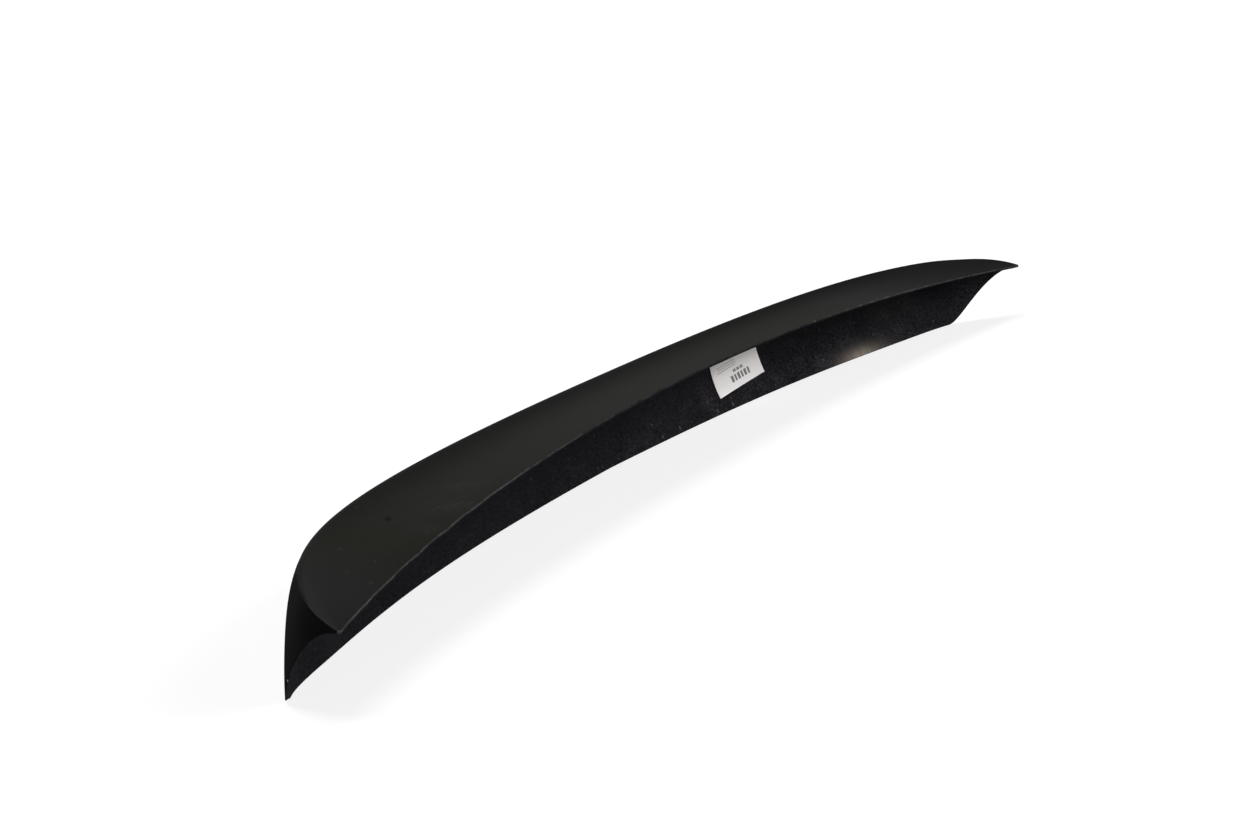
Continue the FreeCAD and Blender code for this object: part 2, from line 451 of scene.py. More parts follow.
def ring_faces(count, rows):
    """Quads between neighbouring rings, wrapped round each ring."""
    i, j = np.meshgrid(np.arange(count - 1), np.arange(rows), indexing="ij")
    after = (j + 1) % rows
    quads = [i * rows + j, (i + 1) * rows + j, (i + 1) * rows + after, i * rows + after]
    return np.stack(quads, axis=2).reshape(-1, 4)


def ring_materials():
    """Material of each face round a ring. Only the outer half of the front cut is pale."""
    side = outside.shape[1] - 1
    cut = foot_cut.shape[1] + 1
    pale = cut // 2
    return [SKIN] * side + [CUT] * cut + [INNER] * (side + cut - pale) + [CUT] * pale


def shell_mesh(rings):
    """Closed mesh of the sheet, with its materials and its unrolled places."""
    count, rows = rings.shape[:2]
    caps = [list(range(rows)), [count * rows - 1 - j for j in range(rows)]]
    mesh = bpy.data.meshes.new("shell")
    mesh.from_pydata((rings.reshape(-1, 3) * MM).tolist(), [], ring_faces(count, rows).tolist() + caps)
    mesh.polygons.foreach_set("material_index", ring_materials() * (count - 1) + [CUT, CUT])
    places = sheet_places(rings) * MM
    corners = [places[:-1, :-1], places[1:, :-1], places[1:, 1:], places[:-1, 1:]]
    quad_places = np.stack(corners, axis=2).reshape(-1, 2)
    cap_places = np.zeros((2 * rows, 2))
    layer = mesh.uv_layers.new(name="unrolled")
    layer.uv.foreach_set("vector", np.concatenate([quad_places, cap_places]).ravel())
    return mesh


def tidied(mesh):
    """Joins points that lie on each other at the tips, and smooths the shading."""
    work = bmesh.new()
    work.from_mesh(mesh)
    bmesh.ops.remove_doubles(work, verts=work.verts, dist=WELD)
    bmesh.ops.dissolve_degenerate(work, edges=work.edges, dist=WELD)
    for face in work.faces:
        face.smooth = True
    work.to_mesh(mesh)
    work.free()
    return mesh


shell = bpy.data.objects.new("spoiler_sheet", tidied(shell_mesh(rings)))
bpy.context.scene.collection.objects.link(shell)
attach(shell, "root")
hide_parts("spoiler_shell")
print(f"spoiler_sheet: {len(shell.data.polygons)} faces")

# %% [markdown]
# The label is a rectangle of paper pressed onto the curved wall. Rays shot rearwards from a
# tilted grid find the wall behind each of its points, so the paper follows the wall wherever it
# bends. It has slight ripples, and its upper left corner has come off the wall a little.

# %% Sizes of the paper label
LABEL_LENGTH, LABEL_HEIGHT = 85.0, 42.0
LABEL_THICKNESS = 0.15
LABEL_MIDDLE = 247.0  # to the right of the middle
LABEL_DROP = 12.3     # from the crest down to its upper edge
LABEL_FOOT = CREST_HEIGHT - LABEL_DROP - LABEL_HEIGHT
LABEL_TILT = math.radians(4)
LABEL_COLUMNS, LABEL_ROWS = 86, 43
RAY_START = -60.0  # the rays start this far ahead of the origin
RIPPLE = 0.05
RIPPLES = (17, 3, 9)  # how fast the ripples turn along, aslant and up the paper
LIFT = 2.0            # height of the loose corner
LIFT_FROM = 0.95      # the paper is loose from this far towards that corner
SHARP_EDGE = math.radians(40)

# %% The paper label
def label_grid():
    """Shares across and up, and the points of the paper's back on the wall."""
    corners = [vertex.co for vertex in shell.data.vertices]
    tree = BVHTree.FromPolygons(corners, [face.vertices for face in shell.data.polygons])
    u, v = np.meshgrid(np.linspace(0, 1, LABEL_COLUMNS), np.linspace(0, 1, LABEL_ROWS))
    across, up = (u - 0.5) * LABEL_LENGTH, v * LABEL_HEIGHT
    x = LABEL_MIDDLE + across * math.cos(LABEL_TILT) - up * math.sin(LABEL_TILT)
    z = LABEL_FOOT + across * math.sin(LABEL_TILT) + up * math.cos(LABEL_TILT)
    back = []
    for place in zip(x.ravel(), z.ravel()):
        hit = tree.ray_cast(Vector((place[0], RAY_START, place[1])) * MM, Vector((0, 1, 0)))[0]
        back.append(hit / MM)
    return u, v, np.array(back).reshape(LABEL_ROWS, LABEL_COLUMNS, 3)


def label_faces():
    """Faces of the paper's front, back and four thin sides."""
    step = LABEL_COLUMNS
    total = LABEL_ROWS * LABEL_COLUMNS
    i, j = np.meshgrid(np.arange(LABEL_ROWS - 1), np.arange(LABEL_COLUMNS - 1), indexing="ij")
    first = (i * step + j).ravel()
    face = np.stack([first, first + 1, first + step + 1, first + step], axis=1)
    rim = np.concatenate([
        np.arange(0, step - 1),
        np.arange(step - 1, total - 1, step),
        np.arange(total - 1, total - step, -1),
        np.arange(total - step, 0, -step),
    ])
    after = np.roll(rim, -1)
    sides = np.stack([rim, rim + total, after + total, after], axis=1)
    return np.concatenate([face, face[:, ::-1] + total, sides])


def label_mesh():
    """Closed sheet of paper, with its own flat map from corner to corner."""
    u, v, back = label_grid()
    turns_along, turns_aslant, turns_up = RIPPLES
    ripple = RIPPLE * (1 + np.sin(turns_along * u + turns_aslant * v) * np.sin(turns_up * v + 1))
    lifted = LIFT * (np.clip((1 - u) + v - LIFT_FROM, 0, 1) / (2 - LIFT_FROM)) ** 2
    back = back - np.stack([0 * u, lifted, 0 * u], axis=2)
    front = back - np.stack([0 * u, LABEL_THICKNESS + ripple, 0 * u], axis=2)
    points = np.concatenate([front.reshape(-1, 3), back.reshape(-1, 3)])
    faces = label_faces()
    mesh = bpy.data.meshes.new("label")
    mesh.from_pydata((points * MM).tolist(), [], faces.tolist())
    flat_map = np.tile(np.stack([u.ravel(), v.ravel()], axis=1), (2, 1))
    layer = mesh.uv_layers.new(name="paper")
    layer.uv.foreach_set("vector", flat_map[faces.ravel()].ravel())
    mesh.shade_smooth()
    mesh.set_sharp_from_angle(angle=SHARP_EDGE)
    return mesh


label = bpy.data.objects.new("label_sheet", label_mesh())
bpy.context.scene.collection.objects.link(label)
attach(label, "root")
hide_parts("paper_label")
print(f"label_sheet: {len(label.data.polygons)} faces")

# %% [markdown]
# Materials are built from nodes. Two helpers add a node and feed its inputs, and the others are
# steps that come up again and again. They keep each material short enough to read.

# %% Node helpers
MIX_SOCKETS = {  # places of a Mix node's two inputs and of its result, by kind of data
    "RGBA": (6, 7, 2),
    "FLOAT": (2, 3, 0),
}


def feed(tree, node, inputs):
    """A node whose inputs are set to values, or linked where they are sockets."""
    for name, value in inputs.items():
        if isinstance(value, bpy.types.NodeSocket):
            tree.links.new(value, node.inputs[name])
        else:
            node.inputs[name].default_value = value
    return node


def add(tree, kind, inputs=None, **settings):
    """A new node with its settings and its inputs."""
    made = tree.nodes.new(kind)
    for name, value in settings.items():
        setattr(made, name, value)
    return feed(tree, made, inputs or {})


def maths(tree, operation, *values):
    """Result of a sum with numbers or sockets."""
    return add(tree, "ShaderNodeMath", dict(enumerate(values)), operation=operation).outputs[0]


def product(tree, first, *others):
    """Numbers or sockets multiplied together."""
    for other in others:
        first = maths(tree, "MULTIPLY", first, other)
    return first


def line(tree, value, slope, start):
    """A value times a slope, plus a start."""
    return maths(tree, "ADD", maths(tree, "MULTIPLY", value, slope), start)


def vectors(tree, operation, *values):
    """Result of a sum with vectors."""
    made = add(tree, "ShaderNodeVectorMath", dict(enumerate(values)), operation=operation)
    return made.outputs["Value" if operation == "DISTANCE" else "Vector"]


def component(tree, vector, axis):
    """One of a vector's three numbers."""
    return add(tree, "ShaderNodeSeparateXYZ", {"Vector": vector}).outputs[axis]


def faded(tree, value, low, high, to_low=0.0, to_high=1.0):
    """A value's smooth passage from one range to another."""
    inputs = {"Value": value, "From Min": low, "From Max": high, "To Min": to_low, "To Max": to_high}
    return add(tree, "ShaderNodeMapRange", inputs, interpolation_type="SMOOTHSTEP").outputs[0]


def mixed(tree, share, low, high, kind="RGBA"):
    """What lies between two colours or, with the kind FLOAT, between two numbers."""
    low_place, high_place, result_place = MIX_SOCKETS[kind]
    made = add(tree, "ShaderNodeMix", {0: share, low_place: low, high_place: high}, data_type=kind)
    return made.outputs[result_place]


def clouds(tree, vector, scale, detail):
    """Soft noise between 0 and 1."""
    inputs = {"Vector": vector, "Scale": scale, "Detail": detail}
    return add(tree, "ShaderNodeTexNoise", inputs).outputs[0]


def bumped(tree, height, strength, distance, **others):
    """Normal of a surface that a height makes uneven."""
    inputs = {"Height": height, "Strength": strength, "Distance": distance, **others}
    return add(tree, "ShaderNodeBump", inputs).outputs[0]


def grey(level, warmth=0.0):
    """A neutral colour, a little warmer or cooler."""
    return (level * (1 + warmth), level, level * (1 - warmth), 1)


def new_material(name):
    """Material with a Principled shader, and the position on the object for its patterns."""
    material = bpy.data.materials.new(name)
    material.use_nodes = True
    tree = material.node_tree
    place = add(tree, "ShaderNodeTexCoord").outputs["Object"]
    return material, tree, tree.nodes["Principled BSDF"], place


# %% [markdown]
# Four effects come up again and again. Each is a node group that turns a place into a mask.
# Specks are dust: dots of uneven size, strewn at random. Streaks are noise that is stretched one
# way, or fine mottling where it is stretched alike all ways. A spot is one soft patch round a
# named place, for single marks. A bar is a plain rectangle.

# %% Node groups and their use
def new_group(name, **values):
    """Node group from a vector and some named values to a mask, and the sockets at its two ends."""
    tree = bpy.data.node_groups.new(name, "ShaderNodeTree")
    for title, value in {"Vector": (0, 0, 0), **values}.items():
        kind = "NodeSocketVector" if isinstance(value, tuple) else "NodeSocketFloat"
        tree.interface.new_socket(title, in_out="INPUT", socket_type=kind).default_value = value
    tree.interface.new_socket("Mask", in_out="OUTPUT", socket_type="NodeSocketFloat")
    given = tree.nodes.new("NodeGroupInput").outputs
    return tree, given, tree.nodes.new("NodeGroupOutput").inputs["Mask"]


def use(tree, group, vector, **values):
    """Mask of a shared effect, with the values that it has in this place."""
    made = add(tree, "ShaderNodeGroup", node_tree=group)
    return feed(tree, made, {"Vector": vector, **values}).outputs["Mask"]


# %% Shared effect: specks
LEAST_DOT = 0.001

specks, given, mask = new_group("specks", Scale=400.0, Share=0.3, Size=0.3)
cells = add(specks, "ShaderNodeTexVoronoi", {"Vector": given["Vector"], "Scale": given["Scale"]})
chance = add(specks, "ShaderNodeSeparateColor", {"Color": cells.outputs["Color"]}).outputs
radius = maths(specks, "MAXIMUM", product(specks, given["Size"], chance["Green"]), LEAST_DOT)
near = maths(specks, "DIVIDE", cells.outputs["Distance"], radius)
dot = faded(specks, near, 0.5, 1.0, 1.0, 0.0)
chosen = maths(specks, "LESS_THAN", chance["Red"], given["Share"])
specks.links.new(product(specks, dot, chosen), mask)

# %% Shared effect: streaks
streaks, given, mask = new_group("streaks", Stretch=(1, 1, 1), Low=0.5, High=0.7)
stretched = vectors(streaks, "MULTIPLY", given["Vector"], given["Stretch"])
noise = clouds(streaks, stretched, scale=1.0, detail=5.0)
streaks.links.new(faded(streaks, noise, given["Low"], given["High"]), mask)

# %% Shared effect: spot
spot, given, mask = new_group("spot", Place=(0, 0, 0), Radius=0.01, Soft=1.0)
apart = vectors(spot, "DISTANCE", given["Vector"], given["Place"])
reach = maths(spot, "DIVIDE", apart, given["Radius"])
core = maths(spot, "SUBTRACT", 1.0, given["Soft"])
spot.links.new(faded(spot, reach, core, 1.0, 1.0, 0.0), mask)

# %% Shared effect: bar
BAR_BLUR = (-0.004, 0.002)  # a bar fades from here inside its edge to there outside it

bar, given, mask = new_group("bar", Middle=(0, 0, 0), Half=(0.1, 0.1, 1))
offset = vectors(bar, "SUBTRACT", given["Vector"], given["Middle"])
beyond = vectors(bar, "SUBTRACT", vectors(bar, "ABSOLUTE", offset), given["Half"])
outermost = maths(bar, "MAXIMUM", component(bar, beyond, "X"), component(bar, beyond, "Y"))
bar.links.new(faded(bar, outermost, *BAR_BLUR, 1.0, 0.0), mask)
print("shared effects:", [group.name for group in bpy.data.node_groups])

# %% [markdown]
# The outer skin is satin black, and a hint of olive lies over the middle of its top. It was pressed
# from a grained sheet, so it has a very fine grain. Its gloss is weaker on the top than on the rear
# wall, and it fades towards one end of each. Handling has left a few pale scuffs and nicks near the
# left end, and one dark dot.

# %% Colours and marks of the outer skin
SKIN_FRONT = (0.0110, 0.0110, 0.0111, 1)
SKIN_OLIVE = (0.0090, 0.0088, 0.0066, 1)
# Painted shade: the darker colour that the skin is drawn in behind the front of the top.
SKIN_REAR_SHADE = (0.0050, 0.0051, 0.0054, 1)
SCUFF_GREY = 0.070
SKIN_DUST, DUST_STRENGTH = 0.060, 0.25
OLIVE_FROM = (-0.575, -0.490)         # the tint fades in between these places across the car
OLIVE_TO = (0.280, 0.360)             # and out between these
OLIVE_LEAST = 0.55                    # and it is as weak as this in the cloudy gaps
# Painted shade: between these distances from the front edge the skin is drawn darker, towards the rear.
FRONT_BAND, REAR_BAND = 0.040, 0.084  # distances from the front edge between which the top darkens

SCUFFS = [  # place, radius, strength
    ((-0.4018, -0.0890, 0.0548), 0.028, 0.17),
    ((-0.3541, -0.0752, 0.0569), 0.022, 0.15),
    ((-0.4540, -0.0980, 0.0525), 0.016, 0.14),
]
NICKS = [  # place, radius, brightness
    ((-0.5098, -0.0774, 0.0569), 0.0012, 0.016),
    ((-0.5440, -0.0990, 0.0516), 0.0012, 0.016),
    ((-0.5530, -0.1164, 0.0470), 0.0012, 0.018),
    ((-0.5186, -0.1011, 0.0509), 0.0012, 0.016),
    ((-0.4298, -0.0452, 0.0637), 0.0012, 0.014),
    ((-0.4383, -0.0674, 0.0571), 0.0023, 0.001),
    ((-0.6039, -0.0919, 0.0135), 0.0010, 0.700),
]
MARK_TURN = math.radians(24)  # the nicks are drawn out in one direction, this far off the x axis
NARROWED = (0.35, 1, 1)       # lengths in that direction count this much in their patterns


def skin_colour(tree, place, along):
    """Black that turns olive over the middle of the top, with painted shade that darkens it towards the
    rear.
    """
    cloud = clouds(tree, place, scale=9.0, detail=3.0)
    uneven = faded(tree, cloud, 0.30, 0.60, OLIVE_LEAST, 1.0)
    begun = faded(tree, along, *OLIVE_FROM)
    going_on = faded(tree, along, *OLIVE_TO, 1.0, 0.0)
    tinted = product(tree, begun, going_on, uneven)
    front = mixed(tree, tinted, SKIN_FRONT, SKIN_OLIVE)
    sheet = add(tree, "ShaderNodeUVMap", uv_map="unrolled").outputs[0]
    # Painted shade: the skin is drawn darker beyond the front band of the unrolled sheet.
    shade_to_rear = faded(tree, component(tree, sheet, "Y"), FRONT_BAND, REAR_BAND)
    return mixed(tree, shade_to_rear, front, SKIN_REAR_SHADE)


def skin_marks(tree, place, colour):
    """A colour with the scuffs, the nicks and the dust on it."""
    scratched = use(tree, streaks, place, Stretch=(90, 900, 900), Low=0.42, High=0.66)
    for middle, radius, strength in SCUFFS:
        area = use(tree, spot, place, Place=middle, Radius=radius, Soft=1.0)
        colour = mixed(tree, product(tree, area, scratched, strength), colour, grey(SCUFF_GREY))
    inputs = {"Vector": place, "Angle": -MARK_TURN}
    turned = add(tree, "ShaderNodeVectorRotate", inputs, rotation_type="Z_AXIS").outputs[0]
    narrowed = vectors(tree, "MULTIPLY", turned, NARROWED)
    for middle, radius, brightness in NICKS:
        middle = Matrix.Rotation(-MARK_TURN, 3, "Z") @ Vector(middle) * Vector(NARROWED)
        area = use(tree, spot, narrowed, Place=middle, Radius=radius, Soft=0.5)
        colour = mixed(tree, area, colour, grey(brightness))
    dust = use(tree, specks, place, Scale=260.0, Share=0.05, Size=0.22)
    return mixed(tree, product(tree, dust, DUST_STRENGTH), colour, grey(SKIN_DUST))


# %% Material of the outer skin
TOP_GLOSS = (0.08, 0.03)    # the top's gloss falls from the first to the second
TOP_FADE = (0.34, 0.56)     # between these places across the car
WALL_GLOSS = (0.02, 0.32)   # the rear wall's gloss grows from the first to the second
WALL_FADE = (-0.57, -0.44)  # between these
TURNED_DOWN = (0.55, 0.85)  # upward part of the normal, from the wall to the top


def skin_gloss(tree, along):
    """Strength of the clear coat, which differs between the top and the rear wall."""
    normal = add(tree, "ShaderNodeTexCoord").outputs["Normal"]
    on_wall = faded(tree, component(tree, normal, "Z"), *TURNED_DOWN, 1.0, 0.0)
    top = faded(tree, along, *TOP_FADE, *TOP_GLOSS)
    wall = faded(tree, along, *WALL_FADE, *WALL_GLOSS)
    return mixed(tree, on_wall, top, wall, kind="FLOAT")


def skin_material():
    """Satin black plastic with a fine grain."""
    material, tree, shader, place = new_material("satin_skin")
    along = component(tree, place, "X")
    waves = clouds(tree, place, scale=22.0, detail=1.0)
    soft = bumped(tree, waves, strength=0.12, distance=0.002)
    grain = clouds(tree, place, scale=1500.0, detail=2.0)
    fine = bumped(tree, grain, strength=0.35, distance=0.0002, Normal=soft)
    feed(tree, shader, {
        "Base Color": skin_marks(tree, place, skin_colour(tree, place, along)),
        "Normal": fine,
        "Coat Normal": fine,
        "Roughness": 0.55,
        "Specular IOR Level": 0.0,
        "Coat Weight": skin_gloss(tree, along),
        "Coat Roughness": 0.30,
    })
    return material


# %% [markdown]
# The inner side was against the mould, so it is smoother and darker. It was never cleaned: fine
# mottled dust and coarser specks lie on it, thicker towards its lower edge and its right half, and
# hands have smudged it. Painted shade darkens it high up under the top, and a painted warm and pale
# reflection lies low down near the right end.

# %% Colours and marks of the inner side
INNER_DARK = (0.0030, 0.0030, 0.0042, 1)
INNER_LIGHT = (0.0055, 0.0055, 0.0070, 1)
DUST_COLOUR = (0.032, 0.031, 0.035, 1)
SPECK_COLOUR = grey(0.100, 0.02)
CHALK_COLOUR = grey(0.055, 0.02)
# Dust and painted shade: lighter towards the foot, and drawn darkest high up under the top.
DUST_SHADE_TOP, DUST_SHADE_FOOT = 0.050, 0.002  # the dust gets thicker from the first height to the second
DUST_ALONG = (-0.20, 0.35)          # and from the first to the second place across the car
DUST_SHARES = (0.16, 1.10)          # by these factors
DUST_TIP = (0.555, 0.610)           # from here to there the right tip gets dusty all over

SMUDGES = [  # place, radius, strength, colour
    ((0.1836, -0.0036, 0.0177), 0.022, 0.50, (0.030, 0.024, 0.026, 1)),
    ((0.4915, -0.0480, 0.0306), 0.030, 0.55, (0.026, 0.021, 0.021, 1)),
    ((0.5278, -0.0595, 0.0325), 0.026, 0.55, (0.028, 0.022, 0.022, 1)),
    ((0.5596, -0.0703, 0.0177), 0.034, 0.35, (0.016, 0.018, 0.026, 1)),
]
CHALK_SPOTS = [  # place and radius
    ((0.2192, -0.0106, 0.0035), 0.0026),
    ((0.1920, -0.0085, 0.0034), 0.0022),
    ((0.1243, -0.0038, 0.0038), 0.0024),
    ((0.0933, -0.0030, 0.0033), 0.0020),
    ((0.0850, 0.0004, 0.0140), 0.0016),
]


def dust_and_shade_amount(tree, place):
    """How much dust lies, with painted shade: least high up under the top, most at the foot and towards
    the right tip.
    """
    dust_and_light_by_height = faded(tree, component(tree, place, "Z"), DUST_SHADE_FOOT, DUST_SHADE_TOP, 1.0, 0.0)
    smudged = use(tree, streaks, place, Stretch=(45, 45, 70), Low=0.35, High=0.70)
    along = component(tree, place, "X")
    uneven = line(tree, smudged, slope=0.6, start=0.4)
    rightwards = faded(tree, along, *DUST_ALONG, *DUST_SHARES)
    dust_and_shade = product(tree, dust_and_light_by_height, uneven, rightwards)
    return maths(tree, "MAXIMUM", dust_and_shade, faded(tree, along, *DUST_TIP))


def inner_marks(tree, place, colour):
    """A colour with the dust and painted shade, the smudges, the specks and the chalk spots on it."""
    dust_and_shade = dust_and_shade_amount(tree, place)
    mottled = use(tree, streaks, place, Stretch=(300, 600, 640), Low=0.25, High=0.78)
    # Dust and painted shade: lighter where dust lies, darker high up under the top, where shade is
    # painted.
    dust_and_shade_mix = product(tree, line(tree, dust_and_shade, slope=0.85, start=0.15), mottled)
    colour = mixed(tree, dust_and_shade_mix, colour, DUST_COLOUR)
    broken = line(tree, mottled, slope=0.7, start=0.3)
    for middle, radius, strength, tint in SMUDGES:
        area = use(tree, spot, place, Place=middle, Radius=radius, Soft=1.0)
        colour = mixed(tree, product(tree, area, broken, strength), colour, tint)
    coarse = use(tree, specks, place, Scale=240.0, Share=0.16, Size=0.34)
    strewn = product(tree, coarse, line(tree, dust_and_shade, slope=0.6, start=0.08))
    colour = mixed(tree, strewn, colour, SPECK_COLOUR)
    for middle, radius in CHALK_SPOTS:
        area = use(tree, spot, place, Place=middle, Radius=radius, Soft=0.8)
        colour = mixed(tree, area, colour, CHALK_COLOUR)
    return colour


# %% Material of the inner side
# A painted warm reflection: the place, size and colours of its halo and core.
GLOW_PLACE, WARM_RADIUS = (0.440, -0.042, 0.0), 0.105
WARM_FLATNESS = 4.6  # the patch is this many times longer than it is high
WARM_HALO = (0.070, 0.062, 0.056, 1)
WARM_CORE = (0.225, 0.192, 0.158, 1)
CORE_POWER = 6.0  # keeps the core to the middle of the patch


def painted_warm_glow(tree, place, colour):
    """A colour with a painted warm reflection on it: a wide halo and a bright core, both finely combed.
    """
    flattened = vectors(tree, "MULTIPLY", place, (1, 1, WARM_FLATNESS))
    warm = use(tree, spot, flattened, Place=GLOW_PLACE, Radius=WARM_RADIUS, Soft=1.0)
    sheet = add(tree, "ShaderNodeUVMap", uv_map="unrolled").outputs[0]
    comb = use(tree, streaks, sheet, Stretch=(500, 25, 1), Low=0.30, High=0.70)
    combing = line(tree, comb, slope=0.30, start=0.70)
    colour = mixed(tree, product(tree, warm, warm, combing), colour, WARM_HALO)
    core = maths(tree, "POWER", warm, CORE_POWER)
    return mixed(tree, product(tree, core, combing), colour, WARM_CORE)


def inner_material():
    """Smooth dark plastic under dust, with painted shade and a painted warm reflection."""
    material, tree, shader, place = new_material("bare_inside")
    cloud = faded(tree, clouds(tree, place, scale=14.0, detail=4.0), 0.35, 0.70)
    bare = mixed(tree, cloud, INNER_DARK, INNER_LIGHT)
    waves = clouds(tree, place, scale=60.0, detail=2.0)
    bump = bumped(tree, waves, strength=0.15, distance=0.001)
    feed(tree, shader, {
        "Base Color": painted_warm_glow(tree, place, inner_marks(tree, place, bare)),
        "Normal": bump,
        "Coat Normal": bump,
        "Roughness": 0.5,
        "Specular IOR Level": 0.0,
        "Coat Weight": 0.025,
        "Coat Roughness": 0.25,
    })
    return material


# %% [markdown]
# A saw leaves plastic paler and rougher than its skin. Along the front edge the pale cut shows
# towards both tips, while in the middle and along the wall it is nearly as dark as the skin. Fine
# tooth marks run across it, and the two chips are fresh and light.

# %% Material of the cut edges
PALE_FROM = (0.16, 0.36)         # the cut turns pale between these distances from the middle
FRONT_CUT_FROM = (0.034, 0.040)  # heights that part the front edge from the wall's edge
CUT_DARK = (grey(0.014), grey(0.028))
CUT_PALE = (grey(0.028), grey(0.054))
TOOTH_MARK, TOOTH_STRENGTH = grey(0.010), 0.35
CHIP_COLOUR = grey(0.090)
CHIP_REACH = 1.3  # a chip's light colour reaches this many half widths


def cut_material():
    """Sawn plastic, pale where it is fresh."""
    material, tree, shader, place = new_material("sawn_edge")
    outwards = faded(tree, maths(tree, "ABSOLUTE", component(tree, place, "X")), *PALE_FROM)
    pale = product(tree, outwards, faded(tree, component(tree, place, "Z"), *FRONT_CUT_FROM))
    worn = use(tree, streaks, place, Stretch=(90, 90, 90), Low=0.30, High=0.65)
    teeth = use(tree, streaks, place, Stretch=(1600, 200, 200), Low=0.4, High=0.7)
    colour = mixed(tree, pale, mixed(tree, worn, *CUT_DARK), mixed(tree, worn, *CUT_PALE))
    colour = mixed(tree, product(tree, teeth, TOOTH_STRENGTH), colour, TOOTH_MARK)
    for chip, half, depth in CHIPS:
        reach, height = front_edge(chip)
        middle = (chip * MM, (reach + depth) * MM, height * MM)
        area = use(tree, spot, place, Place=middle, Radius=CHIP_REACH * half * MM, Soft=0.7)
        colour = mixed(tree, area, colour, CHIP_COLOUR)
    feed(tree, shader, {
        "Base Color": colour,
        "Normal": bumped(tree, teeth, strength=0.4, distance=0.0002),
        "Roughness": 0.6,
        "Specular IOR Level": 0.0,
    })
    return material


for material in (skin_material(), cut_material(), inner_material()):
    shell.data.materials.append(material)
print("sheet materials:", [material.name for material in shell.data.materials])

# %% [markdown]
# The label is plain white paper. Its print is only a layout of bars in place of signs: one row of
# tall ones, one row of small blocks and three thin lines, so nothing on it can be read.

# %% Layout of the print
TALL_BARS = [((0.375 + 0.070 * i, 0.18), (0.026 - 0.006 * (i % 2), 0.060), 0.85) for i in range(6)]
BLOCKS = [((0.465 + 0.075 * i, 0.305), (0.030, 0.028), 0.75) for i in range(3)]
THIN_LINES = [((0.32 + 0.02 * (i % 2), 0.400 + 0.045 * i), (0.20, 0.010), 0.42) for i in range(3)]
BARS = TALL_BARS + BLOCKS + THIN_LINES  # each is a middle, a half size and a darkness
print(f"{len(BARS)} bars of print")

# %% Material of the label
PAPER = ((0.88, 0.84, 0.84, 1), (0.93, 0.895, 0.89, 1))
# Painted shade on the paper's upper part, under the top of the sheet.
PAPER_SHADED = (0.36, 0.332, 0.341, 1)
PAPER_STAIN, STAIN_STRENGTH = (0.60, 0.55, 0.55, 1), 0.20
PRINT = grey(0.06)
SHADE_FROM, SHADE_TO = 0.28, 0.74  # the paper goes grey between these shares of its height
SHADE_MOST = 0.90


def paper_material():
    """Matt paper with plain bars of print, and painted shade that greys it towards its upper edge."""
    material, tree, shader, place = new_material("printed_paper")
    paper = add(tree, "ShaderNodeUVMap", uv_map="paper").outputs[0]
    fibre = clouds(tree, place, scale=700.0, detail=4.0)
    colour = mixed(tree, fibre, *PAPER)
    # Painted shade greys the paper towards its upper edge.
    shaded = faded(tree, component(tree, paper, "Y"), SHADE_FROM, SHADE_TO, 0.0, SHADE_MOST)
    colour = mixed(tree, shaded, colour, PAPER_SHADED)
    for middle, half, strength in BARS:
        mark = use(tree, bar, paper, Middle=(*middle, 0), Half=(*half, 1))
        colour = mixed(tree, product(tree, mark, strength), colour, PRINT)
    stain = use(tree, streaks, place, Stretch=(60, 60, 60), Low=0.55, High=0.8)
    feed(tree, shader, {
        "Base Color": mixed(tree, product(tree, stain, STAIN_STRENGTH), colour, PAPER_STAIN),
        "Normal": bumped(tree, fibre, strength=0.2, distance=0.0002),
        "Roughness": 0.7,
        "Specular IOR Level": 0.3,
    })
    return material


label.data.materials.append(paper_material())
print("label material:", label.data.materials[0].name)

# %% [markdown]
# The stage is a wide, matt grey floor, so the spoiler throws a soft shadow on it. Where the camera,
# a reflection or clear glass looks at the floor, it glows as well. That brings it up to full white
# there, but lights nothing matt, and it leaves the shadow faintly in sight.

# %% The floor
FLOOR_RADIUS = 12.0
FLOOR_SIDES = 96
FLOOR_GAP = 0.00005  # between the spoiler's lower edge and the floor
FLOOR_GREY = 0.30
FLOOR_GLOW = 0.77


def seen_directly(tree):
    """1 where a ray comes from the camera, from a reflection or through glass."""
    path = add(tree, "ShaderNodeLightPath").outputs
    either = maths(tree, "MAXIMUM", path["Is Camera Ray"], path["Is Glossy Ray"])
    return maths(tree, "MAXIMUM", either, path["Is Transmission Ray"])


def floor_object():
    """Round floor with its own material."""
    work = bmesh.new()
    bmesh.ops.create_circle(work, cap_ends=True, radius=FLOOR_RADIUS, segments=FLOOR_SIDES)
    mesh = bpy.data.meshes.new("floor")
    work.to_mesh(mesh)
    work.free()
    floor = bpy.data.objects.new("floor", mesh)
    floor.location.z = cad_low.z - FLOOR_GAP
    material, tree, shader, _ = new_material("pale_floor")
    feed(tree, shader, {
        "Base Color": grey(FLOOR_GREY),
        "Roughness": 1.0,
        "Specular IOR Level": 0.0,
        "Emission Color": grey(1.0),
        "Emission Strength": product(tree, seen_directly(tree), FLOOR_GLOW),
    })
    mesh.materials.append(material)
    bpy.context.scene.collection.objects.link(floor)
    return floor


floor_object()

# %% [markdown]
# Black plastic shows little colour of its own. What the eye reads is the surroundings in its
# gloss, so the sky matters more than the lamps. It is white under the horizon and low on the right,
# and grey on the left and higher up, as in a studio with a white sweep and dark flags over it.
# That keeps the top of the sheet dark near the crest and lets its front catch the light.

# %% The sky
WHITE_BELOW = math.sin(math.radians(9))
GREY_ABOVE = math.sin(math.radians(25))
SKY_TOP = 0.15
SKY_LEFT = 0.25
WHITE_SIDE = (0.25, 0.80)  # reach to the right over which the horizon turns from grey to white
HORIZON = (0.0, 0.02)      # upward reach over which the white under the horizon ends


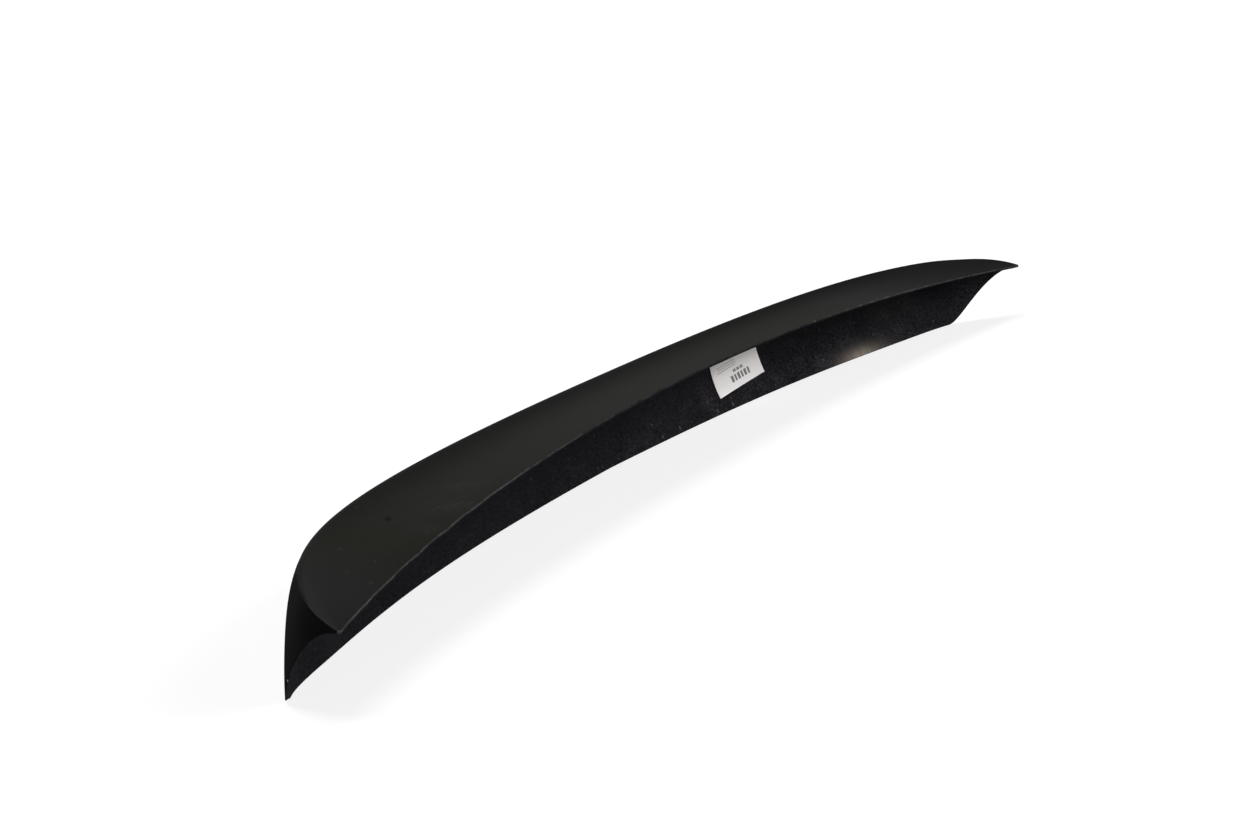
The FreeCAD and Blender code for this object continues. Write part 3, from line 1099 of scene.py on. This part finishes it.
def make_sky():
    """World light that is drawn with nodes from its direction alone."""
    world = bpy.data.worlds.new("studio")
    bpy.context.scene.world = world
    world.use_nodes = True
    tree = world.node_tree
    direction = add(tree, "ShaderNodeTexCoord").outputs["Generated"]
    up = component(tree, direction, "Z")
    level = faded(tree, up, WHITE_BELOW, GREY_ABOVE, 1.0, SKY_TOP)
    side = faded(tree, component(tree, direction, "X"), *WHITE_SIDE, SKY_LEFT, 1.0)
    under_horizon = faded(tree, up, *HORIZON, 1.0, 0.0)
    strength = maths(tree, "MAXIMUM", product(tree, level, side), under_horizon)
    feed(tree, tree.nodes["Background"], {"Color": grey(1.0), "Strength": strength})


make_sky()

# %% [markdown]
# One broad soft lamp shines on the top from high behind on the right, and another low from the
# front, in under the front edge to the label. They are sun lamps with a wide disc, because those
# light the whole floor alike.

# %% The lamps
def sun(name, strength, degrees_wide, azimuth, elevation):
    """Broad distant lamp; azimuth 0 stands in front of the spoiler and 90 on its right."""
    lamp = bpy.data.lights.new(name, "SUN")
    lamp.energy = strength
    lamp.angle = math.radians(degrees_wide)
    made = bpy.data.objects.new(name, lamp)
    a, e = math.radians(azimuth), math.radians(elevation)
    towards = Vector((math.sin(a) * math.cos(e), -math.cos(a) * math.cos(e), math.sin(e)))
    made.rotation_mode = "QUATERNION"
    made.rotation_quaternion = towards.to_track_quat("Z", "Y")
    bpy.context.scene.collection.objects.link(made)
    return made


lamps = [
    sun("rear_lamp", strength=2.10, degrees_wide=46, azimuth=130, elevation=62),
    sun("front_lamp", strength=2.90, degrees_wide=40, azimuth=8, elevation=20),
]
print("lamps:", [lamp.name for lamp in lamps])

# %% [markdown]
# The camera stands to the left and in front of the spoiler and looks along it, as in the photo.
# Its place, direction and lens were worked out from the outline of the part. It is rolled
# clockwise, so the spoiler climbs across the picture.

# %% The camera
CAMERA_PLACE = Vector((-1.67612, -0.76366, 0.27820))
CAMERA_AZIMUTH = math.radians(23.993)  # from +X towards +Y
CAMERA_DIP = math.radians(7.564)
CAMERA_ROLL = math.radians(-9.417)
CAMERA_LENS = 77.76
CAMERA_SENSOR = 36.0


def camera_turn():
    """Rotation whose columns are the camera's right, up and backward directions."""
    level = math.cos(CAMERA_DIP)
    east, north = math.cos(CAMERA_AZIMUTH), math.sin(CAMERA_AZIMUTH)
    ahead = Vector((level * east, level * north, -math.sin(CAMERA_DIP)))
    right = ahead.cross(Vector((0, 0, 1))).normalized()
    up = right.cross(ahead)
    rolled_right = right * math.cos(CAMERA_ROLL) + up * math.sin(CAMERA_ROLL)
    rolled_up = up * math.cos(CAMERA_ROLL) - right * math.sin(CAMERA_ROLL)
    return Matrix((rolled_right, rolled_up, -ahead)).transposed().to_4x4()


def make_camera():
    """The scene's camera, at the photo's place."""
    data = bpy.data.cameras.new("camera")
    data.lens = CAMERA_LENS
    data.sensor_width = CAMERA_SENSOR
    data.sensor_fit = "HORIZONTAL"
    made = bpy.data.objects.new("camera", data)
    made.matrix_world = Matrix.Translation(CAMERA_PLACE) @ camera_turn()
    bpy.context.scene.collection.objects.link(made)
    bpy.context.scene.camera = made


make_camera()
bpy.context.scene.view_settings.view_transform = "Standard"
